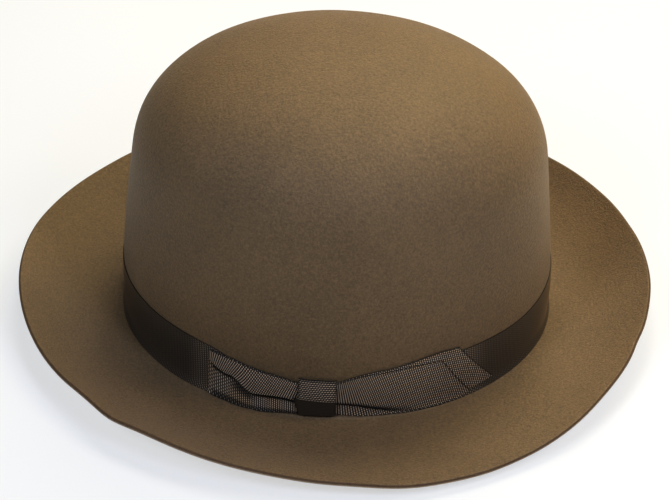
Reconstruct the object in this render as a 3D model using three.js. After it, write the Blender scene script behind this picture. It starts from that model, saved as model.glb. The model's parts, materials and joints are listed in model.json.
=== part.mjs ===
// An open-crown fedora: a felt body with a ribbon band and a flat side bow.
//
// Millimetres, +Z up. The wearer's left, where the bow sits, faces +X; the front of the hat
// faces -Y. The origin is the middle of the hat's bounding box, on the surface it rests on.
// Angles run round the head oval: 0 is the wearer's left, 90 the back, 180 the right side and
// 270 the front. "out" is a distance from the felt, square to the crown's side.

import * as THREE from 'three';

// ---- Felt body ---------------------------------------------------------------------------

const FELT = 2.2;                 // thickness of the felt
const HEAD_HALF_LENGTH = 104;     // outside of the felt at the brim line, front to back
const HEAD_HALF_WIDTH = 89;       // and side to side

const CROWN_HEIGHT = 137.4;        // brim line to the top of the open crown
const DOME_START = 86;            // height at which the side wall turns into the dome
const DOME_POWER = 2.44;          // roundness of the dome: 2 is an ellipse, more is squarer
const CROWN_TAPER = 0.143;        // share of its size that the side wall would lose by the top
const TAPER_POWER = 1.4;          // above 1 keeps the foot of the wall upright
const FRONT_RISE = 0.022;         // the top of the dome slopes up towards the front
const BACK_LEAN = 0.9;            // how far the top stands behind the middle of the oval

const BREAK_RADIUS = 2.5;         // where the crown's side turns out into the brim
const BRIM_LINE = 3.1;            // height of the brim's inner edge above the table
const SIDE_DIP = 1.4;             // the brim line is this much lower at the sides, higher at the ends
const BRIM_CURL = 1.8;            // above 1, the brim turns up more and more towards its edge

// The brim is about 51 mm wide along the felt. At twelve places round the hat: how far its
// edge stands above the brim line, and how far it reaches out from the crown.
const BRIM_EDGE = [
  { place: 'left side', angle: 0, lift: 7.6, reach: 50.9 },
  { place: 'left, towards the back', angle: 30, lift: 3.2, reach: 51.2 },
  { place: 'left back quarter', angle: 60, lift: 12.2, reach: 47.8 },
  { place: 'back', angle: 90, lift: 18.8, reach: 46.2 },
  { place: 'right back quarter', angle: 120, lift: 17.7, reach: 46.3 },
  { place: 'right, towards the back', angle: 150, lift: 12.5, reach: 50.6 },
  { place: 'right side', angle: 180, lift: 8.4, reach: 51.2 },
  { place: 'right, towards the front', angle: 210, lift: 10.0, reach: 51.1 },
  { place: 'right front quarter', angle: 240, lift: 9.6, reach: 50.8 },
  { place: 'front', angle: 270, lift: 16.5, reach: 48.3 },
  { place: 'left front quarter', angle: 300, lift: 14.3, reach: 49.1 },
  { place: 'left, towards the front', angle: 330, lift: 14.3, reach: 50.8 },
];

const STATIONS = 72;              // facets round the hat
const DOME_ROWS = 11;
const WALL_HEIGHTS = [68, 48, 28, 14, 6];
const BREAK_ROWS = 3;
const BRIM_ROWS = 8;

// ---- Ribbon ------------------------------------------------------------------------------

const GAP = 0.3;                  // clearance between neighbouring pieces
const RIBBON = 1.0;               // thickness of the ribbon
const MID_BAND = 14;              // height at which positions along the band are measured
const TRACK_STEP = Math.PI / 720; // the step, as an angle, in which they are measured
// Positions on the ribbon run along the band from the wearer's left, positive towards the
// back. The bow's tie draws the band in: away from the bow it keeps its first and last width.
const BAND_SECTIONS = [
  { along: -100, foot: 0.8, top: 27.6 },
  { along: -66, foot: 0.8, top: 26.6 },
  { along: -55, foot: 1.2, top: 25.4 },
  { along: -43, foot: 1.4, top: 23.4 },
  { along: -28, foot: 2.4, top: 21.2 },
  { along: -18, foot: 5.0, top: 18.9 },
  { along: 2, foot: 5.0, top: 19.8 },
  { along: 12, foot: 2.4, top: 23.6 },
  { along: 28, foot: 1.2, top: 26.8 },
  { along: 45, foot: 0.8, top: 27.6 },
];
const BAND_SHARES = [1, 0.5, 0.1, 0.05, 0];

// The loop lies towards the front. Its front layer is folded lengthwise: above the fold line
// the upper half stands proud of the lower half by "step".
const LOOP_SECTIONS = [
  { along: -60, foot: 2.8, fold: 20.8, top: 26.2, step: 0.2 },
  { along: -55, foot: 1.7, fold: 18.7, top: 26.9, step: 0.6 },
  { along: -48, foot: 1.8, fold: 17.2, top: 26.6, step: 0.9 },
  { along: -42, foot: 1.8, fold: 14.2, top: 25.2, step: 1.2 },
  { along: -36, foot: 1.6, fold: 11.6, top: 24.8, step: 1.2 },
  { along: -27, foot: 2.7, fold: 12.2, top: 22.9, step: 0.9 },
  { along: -22, foot: 3.8, fold: 12.0, top: 21.8, step: 0.6 },
  { along: -18.5, foot: 5.2, fold: 12.0, top: 20.4, step: 0 },
  { along: -9, foot: 5.4, fold: 12.0, top: 19.8, step: 0 },
];
const LOOP_OPENING = 0.4;         // air between the loop's two layers
const FOLD_RUN = 1.2;             // height over which the fold steps out
const LOOP_STEPS = 13;            // facets along each layer
const TURN_STEPS = 6;             // and round the turned-over end
const LOOP_SHARES = [1, 0.66, 0.33, 0, -0.5, -1]; // 1 is the top edge, 0 the fold, -1 the foot

// The two tails lie towards the back, one over the other, with slanting cut ends.
const TAIL_STEPS = 18;
const TAIL_SHARES = [1, 0.75, 0.5, 0.25, 0];
const LOWER_TAIL = {
  out: 1.6,
  end: { foot: 78, top: 58.8 },
  sections: [
    { along: -7.5, foot: 5.2, top: 19.6 },
    { along: 2.4, foot: 5.0, top: 20.6 },
    { along: 6, foot: 3.2, top: 23.0 },
    { along: 14, foot: 2.6, top: 26.0 },
    { along: 23, foot: 2.2, top: 27.8 },
    { along: 35, foot: 2.8, top: 30.4 },
    { along: 44, foot: 3.8, top: 30.3 },
    { along: 52, foot: 4.6, top: 30.7 },
    { along: 59, foot: 5.2, top: 31.6 },
    { along: 78, foot: 5.6, top: 31.6 },
  ],
};
const UPPER_TAIL = {
  out: 2.9,
  end: { foot: 67.2, top: 50.4 },
  sections: [
    { along: -7.5, foot: 10.6, top: 19.6 },
    { along: 2.4, foot: 10.6, top: 20.6 },
    { along: 6, foot: 10.3, top: 23.6 },
    { along: 13, foot: 9.0, top: 26.0 },
    { along: 18, foot: 7.3, top: 26.6 },
    { along: 24, foot: 5.5, top: 27.1 },
    { along: 31, foot: 3.7, top: 27.6 },
    { along: 40, foot: 2.6, top: 28.3 },
    { along: 50, foot: 2.6, top: 27.6 },
    { along: 58, foot: 2.0, top: 27.4 },
    { along: 67.2, foot: 3.8, top: 27.4 },
  ],
};

// The tie wraps round the middle of the bow and the drawn-in band. Its outer face, from the
// top edge down: it bulges over the layers and slopes back in under a crease.
const TIE_MIDDLE = -7.5;
const TIE_HALF = 8.6;
const TIE_FACE = [
  { height: 22.2, out: 1.9 },
  { height: 22.2, out: 3.5 },
  { height: 21.8, out: 4.8 },
  { height: 20.4, out: 5.4 },
  { height: 17.0, out: 5.9 },
  { height: 14.0, out: 6.0 },
  { height: 13.2, out: 5.7 },
  { height: 9.0, out: 5.6 },
  { height: 5.6, out: 5.3 },
  { height: 4.0, out: 4.4 },
  { height: 3.2, out: 2.6 },
];
const TIE_ENDS_IN = 0.45;         // the tie's two ends stop this far from the felt
const TIE_TUCK = 0.3;             // the tie's side edges turn in by this much
const TIE_STOPS = [-1, -0.9, -0.45, 0, 0.45, 0.9, 1];

// ---- Colours -----------------------------------------------------------------------------

const FELT_COLOUR = 0x6f5a42;
const RIBBON_COLOUR = 0x2e231d;

// ---- Small helpers -----------------------------------------------------------------------

const TURN = 2 * Math.PI;

function mix(a, b, t) {
  return a + (b - a) * t;
}

// A smooth closed curve through one column of the brim's table (Catmull-Rom), at any angle in
// radians.
function brimEdge(name, angle) {
  const count = BRIM_EDGE.length;
  const place = ((angle / TURN) % 1 + 1) % 1 * count;
  const k = Math.floor(place);
  const t = place - k;
  const [a, b, c, d] = [-1, 0, 1, 2].map((n) => BRIM_EDGE[(k + n + count) % count][name]);
  const bend = (2 * a - 5 * b + 4 * c - d) * t * t + (3 * b - 3 * c + d - a) * t * t * t;
  return 0.5 * (2 * b + (c - a) * t + bend);
}

// Reads one column of a table of sections at a place between its rows.
function column(rows, name, along) {
  const last = rows.length - 1;
  if (along <= rows[0].along) return rows[0][name];
  if (along >= rows[last].along) return rows[last][name];
  const k = rows.findIndex((row, i) => i < last && along <= rows[i + 1].along);
  const t = (along - rows[k].along) / (rows[k + 1].along - rows[k].along);
  return mix(rows[k][name], rows[k + 1][name], t);
}

// ---- The felt's outer surface ------------------------------------------------------------

// Share of the head oval's size that the crown has at a height above the brim line.
function crownSize(height) {
  const up = Math.max(0, height) / CROWN_HEIGHT;
  const dome = Math.max(0, (height - DOME_START) / (CROWN_HEIGHT - DOME_START));
  const wall = 1 - CROWN_TAPER * up ** TAPER_POWER;
  return wall * Math.max(0, 1 - dome ** DOME_POWER) ** (1 / DOME_POWER);
}

// The brim line isn't level: it dips at the sides and rises at the front and back.
function brimLine(angle) {
  return BRIM_LINE - SIDE_DIP * Math.cos(2 * angle);
}

function outwardAt(angle) {
  const across = Math.cos(angle) / HEAD_HALF_WIDTH;
  const along = Math.sin(angle) / HEAD_HALF_LENGTH;
  const size = Math.hypot(across, along);
  return [across / size, along / size];
}

// A point beside the crown: round the oval, up from the brim line, and out from the felt.
function besideCrown(angle, height, out) {
  const size = crownSize(height);
  const up = height / CROWN_HEIGHT;
  const [nx, ny] = outwardAt(angle);
  const x = HEAD_HALF_WIDTH * Math.cos(angle) * size + nx * out;
  const y = HEAD_HALF_LENGTH * Math.sin(angle) * size + ny * out + BACK_LEAN * up * up;
  const foot = mix(brimLine(angle), BRIM_LINE, Math.min(1, up));
  return new THREE.Vector3(x, y, foot + height - FRONT_RISE * y * up * up);
}

// A point on top of the brim, from the break (t = 0) to the edge (t = 1).
function onBrim(angle, t) {
  const out = mix(BREAK_RADIUS, brimEdge('reach', angle), t);
  const point = besideCrown(angle, 0, out);
  point.z = mix(brimLine(angle), BRIM_LINE, t) + brimEdge('lift', angle) * t ** BRIM_CURL;
  return point;
}

function onBreak(angle, t) {
  const turn = t * Math.PI / 2;
  const height = BREAK_RADIUS * (1 - Math.sin(turn));
  return besideCrown(angle, height, BREAK_RADIUS * (1 - Math.cos(turn)));
}

// The rows of the outer surface, each a function of the angle, from the top of the crown out.
function feltRows() {
  const rows = [];
  for (let i = 0; i <= DOME_ROWS; i++) {
    const turn = (i / DOME_ROWS) * Math.PI / 2;
    const rise = Math.cos(turn) ** (2 / DOME_POWER);
    const height = mix(DOME_START, CROWN_HEIGHT, rise);
    rows.push((angle) => besideCrown(angle, height, 0));
  }
  for (const height of WALL_HEIGHTS) rows.push((angle) => besideCrown(angle, height, 0));
  for (let i = 0; i < BREAK_ROWS; i++) rows.push((angle) => onBreak(angle, i / BREAK_ROWS));
  for (let i = 0; i <= BRIM_ROWS; i++) rows.push((angle) => onBrim(angle, i / BRIM_ROWS));
  return rows;
}

// ---- Turning grids of points into closed solids ------------------------------------------

// A wall between two grids of points, closed along its borders. Rows run down, columns along;
// "outside" is the grid whose faces look out. A ring is closed along its columns.
function wallGeometry(outside, inside, ring) {
  const triangles = [];
  const rows = outside.length - 1;
  const cols = outside[0].length;
  const lastCol = ring ? cols : cols - 1;
  const face = (a, b, c) => {
    const same = a.distanceTo(b) < 1e-6 || b.distanceTo(c) < 1e-6 || c.distanceTo(a) < 1e-6;
    if (!same) triangles.push(a, b, c);
  };
  const quad = (a, b, c, d) => {
    face(a, b, c);
    face(a, c, d);
  };
  for (let i = 0; i < rows; i++) {
    for (let j = 0; j < lastCol; j++) {
      const k = (j + 1) % cols;
      quad(outside[i][j], outside[i + 1][j], outside[i + 1][k], outside[i][k]);
      quad(inside[i][j], inside[i][k], inside[i + 1][k], inside[i + 1][j]);
    }
  }
  for (let j = 0; j < lastCol; j++) {
    const k = (j + 1) % cols;
    quad(outside[0][j], outside[0][k], inside[0][k], inside[0][j]);
    quad(outside[rows][j], inside[rows][j], inside[rows][k], outside[rows][k]);
  }
  if (!ring) {
    for (let i = 0; i < rows; i++) {
      quad(outside[i][0], inside[i][0], inside[i + 1][0], outside[i + 1][0]);
      quad(outside[i][lastCol], outside[i + 1][lastCol], inside[i + 1][lastCol], inside[i][lastCol]);
    }
  }
  return new THREE.BufferGeometry().setFromPoints(triangles);
}

function named(name, geometry, color, roughness) {
  geometry.computeVertexNormals();
  const material = new THREE.MeshStandardMaterial({ color, roughness, metalness: 0 });
  const mesh = new THREE.Mesh(geometry, material);
  mesh.name = name;
  return mesh;
}

// ---- Felt body ---------------------------------------------------------------------------

// The inner surface lies one felt's thickness inside the outer one. Where it would press into
// the table, the felt is flattened.
function feltInside(rows, angles) {
  const step = 1e-3;
  return rows.map((row, i) => angles.map((angle) => {
    const above = rows[Math.max(0, i - 1)](angle);
    const below = rows[Math.min(rows.length - 1, i + 1)](angle);
    const down = new THREE.Vector3().subVectors(below, above);
    const round = new THREE.Vector3().subVectors(row(angle + step), row(angle - step));
    const normal = i === 0
      ? new THREE.Vector3(0, 0, 1)
      : new THREE.Vector3().crossVectors(down, round).normalize();
    const point = row(angle).addScaledVector(normal, -FELT);
    point.z = Math.max(0, point.z);
    return point;
  }));
}

function feltBody() {
  const rows = feltRows();
  const angles = Array.from({ length: STATIONS }, (_, j) => (j / STATIONS) * TURN);
  const outside = rows.map((row) => angles.map((angle) => row(angle)));
  const inside = feltInside(rows, angles);
  return named('felt_body', wallGeometry(outside, inside, true), FELT_COLOUR, 0.95);
}

// ---- Ribbon band -------------------------------------------------------------------------

// Distance along the band from the left side, as an angle round the oval.
function angleAt(along) {
  if (along === 0) return 0;
  const step = Math.sign(along) * TRACK_STEP;
  let angle = 0;
  let left = Math.abs(along);
  for (;;) {
    const here = besideCrown(angle, MID_BAND, RIBBON);
    const run = here.distanceTo(besideCrown(angle + step, MID_BAND, RIBBON));
    if (run >= left) return angle + step * (left / run);
    left -= run;
    angle += step;
  }
}

// The other way round. The band follows the head oval closely enough for its quarter length.
function alongAt(angle) {
  const turn = Math.atan2(Math.sin(angle), Math.cos(angle));
  return turn * HEAD_HALF_LENGTH;
}

// How far the break's curve pushes the foot of the ribbon out from the crown.
function breakBulge(height) {
  const below = Math.max(0, BREAK_RADIUS - height);
  return BREAK_RADIUS - Math.sqrt(BREAK_RADIUS ** 2 - below ** 2);
}

function ribbonBand() {
  const angles = Array.from({ length: STATIONS }, (_, j) => (j / STATIONS) * TURN);
  const layer = (out) => BAND_SHARES.map((share) => angles.map((angle) => {
    const foot = column(BAND_SECTIONS, 'foot', alongAt(angle));
    const top = column(BAND_SECTIONS, 'top', alongAt(angle));
    const height = mix(foot, top, share);
    return besideCrown(angle, height, breakBulge(height) + out);
  }));
  const geometry = wallGeometry(layer(GAP + RIBBON), layer(GAP), true);
  return named('ribbon_band', geometry, RIBBON_COLOUR, 0.7);
}

// ---- Bow ---------------------------------------------------------------------------------

// A place on the bow: along the band, up from the brim line, out from the felt.
function onBow(along, height, out) {
  return besideCrown(angleAt(along), height, breakBulge(height) + out);
}

// The loop's ribbon runs towards the front against the band, turns over, and comes back.
function loopPath() {
  const back = LOOP_SECTIONS[LOOP_SECTIONS.length - 1].along;
  const front = LOOP_SECTIONS[0].along;
  const radius = (LOOP_OPENING + RIBBON) / 2;
  const middle = 2 * GAP + RIBBON + RIBBON / 2 + radius;
  const turnAt = front + radius + RIBBON / 2;
  const path = [];
  for (let i = 0; i < LOOP_STEPS; i++) {
    const along = mix(back, turnAt, i / LOOP_STEPS);
    path.push({ along, out: middle - radius, side: [0, -1], lifted: 0 });
  }
  for (let i = 0; i <= TURN_STEPS; i++) {
    const turn = (i / TURN_STEPS) * Math.PI;
    const side = [-Math.sin(turn), -Math.cos(turn)];
    const along = turnAt + side[0] * radius;
    path.push({ along, out: middle + side[1] * radius, side, lifted: 0 });
  }
  for (let i = 1; i <= LOOP_STEPS; i++) {
    const along = mix(turnAt, back, i / LOOP_STEPS);
    path.push({ along, out: middle + radius, side: [0, 1], lifted: Math.min(1, i / 2) });
  }
  return path;
}

function bowLoop() {
  const path = loopPath();
  const layer = (depth) => LOOP_SHARES.map((share) => path.map((point) => {
    const read = (name) => column(LOOP_SECTIONS, name, point.along);
    const fold = read('fold');
    const height = share >= 0
      ? mix(fold + FOLD_RUN / 2, read('top'), share)
      : mix(fold - FOLD_RUN / 2, read('foot'), (-share - 0.5) * 2);
    const step = share >= 0 ? read('step') * (1 - 0.4 * share) * point.lifted : 0;
    const along = point.along + point.side[0] * depth;
    return onBow(along, height, point.out + point.side[1] * depth + step);
  }));
  const geometry = wallGeometry(layer(RIBBON / 2), layer(-RIBBON / 2), false);
  return named('bow_loop', geometry, RIBBON_COLOUR, 0.7);
}

function bowTail(name, tail) {
  const layer = (out) => TAIL_SHARES.map((share) => {
    const start = tail.sections[0].along;
    const end = mix(tail.end.foot, tail.end.top, share);
    return Array.from({ length: TAIL_STEPS + 1 }, (_, i) => {
      const along = mix(start, end, i / TAIL_STEPS);
      const foot = column(tail.sections, 'foot', along);
      const top = column(tail.sections, 'top', along);
      return onBow(along, mix(foot, top, share), out);
    });
  });
  const geometry = wallGeometry(layer(tail.out + RIBBON), layer(tail.out), false);
  return named(name, geometry, RIBBON_COLOUR, 0.7);
}

// The tie's outline is its outer face, then the same face one ribbon further in.
function bowTie() {
  const first = TIE_FACE[0];
  const last = TIE_FACE[TIE_FACE.length - 1];
  const face = [
    { height: first.height, out: TIE_ENDS_IN },
    ...TIE_FACE,
    { height: last.height, out: TIE_ENDS_IN },
  ];
  const inner = face.map((point, i) => {
    const before = face[Math.max(0, i - 1)];
    const after = face[Math.min(face.length - 1, i + 1)];
    const rise = after.height - before.height;
    const run = after.out - before.out;
    const size = Math.hypot(rise, run);
    return {
      height: point.height - (run / size) * RIBBON,
      out: point.out + (rise / size) * RIBBON,
    };
  });
  const layer = (points, tuck) => points.map((point) => TIE_STOPS.map((stop) => {
    const rounding = Math.abs(stop) === 1 ? tuck : 0;
    const out = Math.max(point.out - rounding, TIE_ENDS_IN);
    return onBow(TIE_MIDDLE + TIE_HALF * stop, point.height, out);
  }));
  const geometry = wallGeometry(layer(face, TIE_TUCK), layer(inner, 0), false);
  return named('bow_tie', geometry, RIBBON_COLOUR, 0.75);
}

// ---- Assembly ----------------------------------------------------------------------------

const hat = new THREE.Group();
hat.add(feltBody());
hat.add(ribbonBand());
hat.add(bowLoop());
hat.add(bowTail('bow_tail_lower', LOWER_TAIL));
hat.add(bowTail('bow_tail_upper', UPPER_TAIL));
hat.add(bowTie());

// The brim reaches a little further on one side than the other, so the hat is moved to put its
// origin under the middle of its bounding box.
const bounds = new THREE.Box3().setFromObject(hat);
const middle = bounds.getCenter(new THREE.Vector3());
hat.position.set(-middle.x, -middle.y, -bounds.min.z);

const group = new THREE.Group();
group.add(hat);

export default group;
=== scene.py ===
# %% [markdown]
# # An open-crown fedora in brown felt
#
# A hat like this is one piece of fur felt, pulled over a block for the crown and pressed flat
# for the brim, with a ribbon sewn round the foot of the crown and a flat bow on the wearer's
# left. This lesson makes it the same way: a round felt blank is blocked into shape, and each
# ribbon is cut flat and then laid on the hat.
#
# The frame comes first. It is the hat as plain solids, in metres, and every piece made here
# takes its place from it.

# %% Load the frame
import json
import math
import bpy
import numpy as np
from mathutils import Matrix, Vector, noise

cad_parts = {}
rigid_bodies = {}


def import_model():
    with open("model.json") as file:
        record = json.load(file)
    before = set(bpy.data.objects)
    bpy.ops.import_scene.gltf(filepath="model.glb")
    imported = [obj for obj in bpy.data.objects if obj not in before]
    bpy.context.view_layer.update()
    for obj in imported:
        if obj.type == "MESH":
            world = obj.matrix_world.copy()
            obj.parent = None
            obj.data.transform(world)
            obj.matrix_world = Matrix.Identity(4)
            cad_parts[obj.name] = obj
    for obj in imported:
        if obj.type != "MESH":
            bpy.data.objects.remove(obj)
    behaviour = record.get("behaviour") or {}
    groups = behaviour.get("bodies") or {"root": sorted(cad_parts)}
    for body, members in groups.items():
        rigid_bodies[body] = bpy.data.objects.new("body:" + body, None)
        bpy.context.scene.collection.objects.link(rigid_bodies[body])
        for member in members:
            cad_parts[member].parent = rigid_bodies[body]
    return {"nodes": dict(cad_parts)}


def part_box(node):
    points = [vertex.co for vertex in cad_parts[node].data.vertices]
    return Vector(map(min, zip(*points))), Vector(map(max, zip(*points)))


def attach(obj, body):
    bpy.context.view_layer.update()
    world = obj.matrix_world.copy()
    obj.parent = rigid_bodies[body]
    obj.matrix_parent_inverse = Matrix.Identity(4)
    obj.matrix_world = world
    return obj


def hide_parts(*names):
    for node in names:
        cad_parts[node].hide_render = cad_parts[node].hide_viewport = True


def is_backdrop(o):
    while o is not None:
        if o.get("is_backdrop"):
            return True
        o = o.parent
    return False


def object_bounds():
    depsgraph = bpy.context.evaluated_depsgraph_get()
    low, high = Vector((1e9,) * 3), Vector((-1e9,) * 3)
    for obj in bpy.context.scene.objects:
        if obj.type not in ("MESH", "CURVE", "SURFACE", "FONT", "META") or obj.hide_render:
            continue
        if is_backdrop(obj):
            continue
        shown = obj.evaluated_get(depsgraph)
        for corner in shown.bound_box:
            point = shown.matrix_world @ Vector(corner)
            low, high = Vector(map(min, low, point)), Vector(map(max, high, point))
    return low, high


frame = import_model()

frame_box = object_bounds()
print("solids in the frame:", sorted(frame["nodes"]))
print("size in mm:", [round((high - low) * 1000, 1) for low, high in zip(*frame_box)])

# %% [markdown]
# ## Sizes
#
# A hatter works from a few sizes: the head oval, the height of the crown, how far the brim
# turns up at each place, and the width of the ribbon. They are in millimetres here, and one
# helper turns a point into metres in the frame. Angles run round the head oval: 0 is the
# wearer's left, where the bow sits, 90 the back, 180 the right side and 270 the front.

# %% The felt's sizes
MM = 0.001
FELT = 2.2
HALF_LENGTH = 104
HALF_WIDTH = 89
CROWN_HEIGHT = 137.4
DOME_START = 86
DOME_POWER = 2.44
CROWN_TAPER = 0.143
TAPER_POWER = 1.4
FRONT_RISE = 0.022
BACK_LEAN = 0.9
BREAK_RADIUS = 2.5
BRIM_LINE = 3.1
SIDE_DIP = 1.4
BRIM_CURL = 1.8

# angle, how far the brim's edge lifts above the brim line, how far it reaches from the crown
BRIM_EDGE = [
    (0, 7.6, 50.9),
    (30, 3.2, 51.2),
    (60, 12.2, 47.8),
    (90, 18.8, 46.2),
    (120, 17.7, 46.3),
    (150, 12.5, 50.6),
    (180, 8.4, 51.2),
    (210, 10.0, 51.1),
    (240, 9.6, 50.8),
    (270, 16.5, 48.3),
    (300, 14.3, 49.1),
    (330, 14.3, 50.8),
]

# where the edge was cut a little full (+) or scant (-): angle, width, size
CUT_WAVES = [
    (12, 6, 0.9),
    (33, 5, -0.4),
    (47, 5, 0.4),
    (70, 3, -0.6),
    (87, 5, 0.3),
    (105, 4, -0.3),
    (310, 4, -0.5),
    (319, 4, 1.4),
    (350, 8, -0.4),
]

felt_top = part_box("felt_body")[1]
print("the frame's felt stands", round(felt_top[2] * 1000, 1), "mm high")

# %% [markdown]
# The shape of the felt is a function: give it an angle round the hat and a height beside the
# crown, or a place across the brim, and it gives the point. The crown is an oval that tapers
# a little and then closes in a squarish dome. Small rises and hollows of a few tenths of a
# millimetre keep it from looking machined, since real felt is pressed by hand.

# %% The felt's surface
def rising(value, start, end):
    """0 before start, 1 after end, and smooth between them."""
    t = min(1, max(0, (value - start) / (end - start)))
    return t * t * (3 - 2 * t)


def smooth_ring(values, angle):
    """A smooth closed curve through values set evenly round the hat."""
    count = len(values)
    place = (angle / math.tau) % 1 * count
    k = int(place)
    t = place - k
    a, b, c, d = (values[(k + n) % count] for n in (-1, 0, 1, 2))
    bend = (2 * a - 5 * b + 4 * c - d) * t**2 + (3 * b - 3 * c + d - a) * t**3
    return 0.5 * (2 * b + (c - a) * t + bend)


def brim_edge(angle):
    """How far the edge lifts and reaches at an angle, with the cutter's slips added."""
    lift = smooth_ring([row[1] for row in BRIM_EDGE], angle)
    reach = smooth_ring([row[2] for row in BRIM_EDGE], angle)
    for place, width, size in CUT_WAVES:
        apart = (math.degrees(angle) - place + 180) % 360 - 180
        reach += size * math.exp(-((apart / width) ** 2))
    return lift, reach


def crown_size(height):
    """The oval's size at a height, as a share of its size at the brim."""
    up = max(0, height) / CROWN_HEIGHT
    dome = max(0, (height - DOME_START) / (CROWN_HEIGHT - DOME_START))
    wall = 1 - CROWN_TAPER * up**TAPER_POWER
    return wall * max(0, 1 - dome**DOME_POWER) ** (1 / DOME_POWER)


def brim_line(angle):
    """The height at which the crown meets the brim: a little lower at both sides."""
    return BRIM_LINE - SIDE_DIP * math.cos(2 * angle)


def outward(angle):
    """The way straight out of the oval's edge."""
    across = math.cos(angle) / HALF_WIDTH
    along = math.sin(angle) / HALF_LENGTH
    size = math.hypot(across, along)
    return across / size, along / size


def drawn_in(angle, height):
    """How far the ribbon pulls the foot of the crown in, at its very front and back."""
    way = math.sin(angle)
    pull, end = (1.5, 20) if way > 0 else (1.8, 34)
    return math.copysign(pull * way**24 * (1 - rising(height, 0, end)), way)


def beside_crown(angle, height, out):
    """Round the oval, up from the brim line and out from the felt, in millimetres."""
    size = crown_size(height)
    up = height / CROWN_HEIGHT
    nx, ny = outward(angle)
    x = HALF_WIDTH * math.cos(angle) * size + nx * out
    y = HALF_LENGTH * math.sin(angle) * size + ny * out + BACK_LEAN * up * up
    y -= drawn_in(angle, height)
    foot = brim_line(angle) + (BRIM_LINE - brim_line(angle)) * min(1, up)
    return Vector((x, y, foot + height - FRONT_RISE * y * up * up))


def on_brim(angle, t):
    """On top of the brim, from the break (t = 0) to the edge (t = 1)."""
    lift, reach = brim_edge(angle)
    point = beside_crown(angle, 0, BREAK_RADIUS + (reach - BREAK_RADIUS) * t)
    point.y += drawn_in(angle, 0) * rising(t, 0, 0.4)
    foot = brim_line(angle) + (BRIM_LINE - brim_line(angle)) * t
    point.z = foot + lift * t**BRIM_CURL
    return point


# the frame is centred on the whole hat, and the head oval isn't quite in the middle of it
SHIFT = Vector((0.18, 0.97, 0))
print("moved into the frame by", [round(v, 2) for v in SHIFT], "mm")


def in_frame(point):
    """A point in millimetres from the head oval's middle, as metres in the frame."""
    return (point + SHIFT) * MM

# %% [markdown]
# ## Camera
#
# The hat is seen from its left side and from well above, by a long lens, so that its sides
# hardly lean. The camera stands a metre off and is tipped a little, with the back of the hat
# slightly lower.

# %% Camera
CAMERA_RISE = 38.2
CAMERA_AWAY = 1000
CAMERA_TIP = 1.35
LENS = 111.5

bpy.ops.object.select_all(action="DESELECT")
rise = math.radians(CAMERA_RISE)
towards = Vector((math.cos(rise), 0, math.sin(rise)))
target = Vector((0, -1.0, 25.6 + BRIM_LINE))
bpy.ops.object.camera_add(location=in_frame(target + towards * CAMERA_AWAY))
camera = bpy.context.object
camera.name = "camera"
facing = towards.to_track_quat("Z", "Y").to_matrix().to_4x4()
tipped = facing @ Matrix.Rotation(math.radians(CAMERA_TIP), 4, "Z")
camera.rotation_euler = tipped.to_euler()
camera.data.lens = LENS
camera.data.sensor_width = 36
bpy.context.scene.camera = camera
print("camera at", [round(v, 3) for v in camera.location], "m")

# %% [markdown]
# ## Floor and light
#
# Five soft lights stand round the hat. The strongest is a wide warm one behind it. A smaller
# one stands on the side of the hat's back and another high behind, so the dome and the back of
# the brim are bright and the near side of the crown falls away into shade. Two cooler lamps at
# the front keep that shade open. Colours are shown without a film curve, and a gamma a little
# under one makes the shade deeper.

# %% Lights
bpy.context.scene.view_settings.view_transform = "Standard"
bpy.context.scene.view_settings.gamma = 0.8
LIGHT_AWAY = 1.05
AIM = Vector((0, 0, 0.05))


def soft_light(name, turn, rise, size, watts, colour):
    """A round lamp: turn runs from the camera towards the back of the hat, rise is its height."""
    turn, rise = math.radians(turn), math.radians(rise)
    sideways = math.cos(rise)
    towards = Vector((sideways * math.cos(turn), sideways * math.sin(turn), math.sin(rise)))
    bpy.ops.object.light_add(type="AREA", location=AIM + towards * LIGHT_AWAY)
    light = bpy.context.object
    light.name = name
    light.data.shape = "DISK"
    light.data.size = size
    light.data.energy = watts
    light.data.color = colour
    light.rotation_euler = towards.to_track_quat("Z", "Y").to_euler()
    print(name, "at", [round(v, 2) for v in light.location], "m")


soft_light("lamp_front_right", 40, 45, 0.35, 4.4, (0.62, 0.72, 1.0))
soft_light("lamp_right", 80, 50, 0.35, 3.0, (1.0, 0.9, 0.66))
soft_light("lamp_behind_wide", 150, 45, 0.8, 8.3, (1.0, 0.88, 0.54))
soft_light("lamp_behind_high", 180, 70, 0.35, 3.1, (0.98, 0.96, 0.92))
soft_light("lamp_front_left", -40, 45, 0.35, 4.1, (0.71, 0.82, 1.0))


# %% [markdown]
# The floor is plain and matt. With so few lamps its shadows would be heavy and the space behind
# it black, and more lamps would spoil the shade on the felt. So a white glow is mixed into the
# floor and the space round it for camera rays alone, which a Light Path node tells apart. The
# light that reaches the hat stays as it is.

# %% Pale floor
SEEN_PALER = 0.65


def seen_paler(tree):
    """SEEN_PALER for what the camera sees, and nothing for the light on its way to the hat."""
    ray = tree.nodes.new("ShaderNodeLightPath")
    share = tree.nodes.new("ShaderNodeMath")
    share.operation = "MULTIPLY"
    share.inputs[1].default_value = SEEN_PALER
    tree.links.new(ray.outputs["Is Camera Ray"], share.inputs[0])
    return share.outputs["Value"]


world = bpy.data.worlds.new("pale_room")
world.use_nodes = True
room = world.node_tree.nodes["Background"]
room.inputs["Color"].default_value = (1, 1, 1, 1)
world.node_tree.links.new(seen_paler(world.node_tree), room.inputs["Strength"])
bpy.context.scene.world = world

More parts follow.
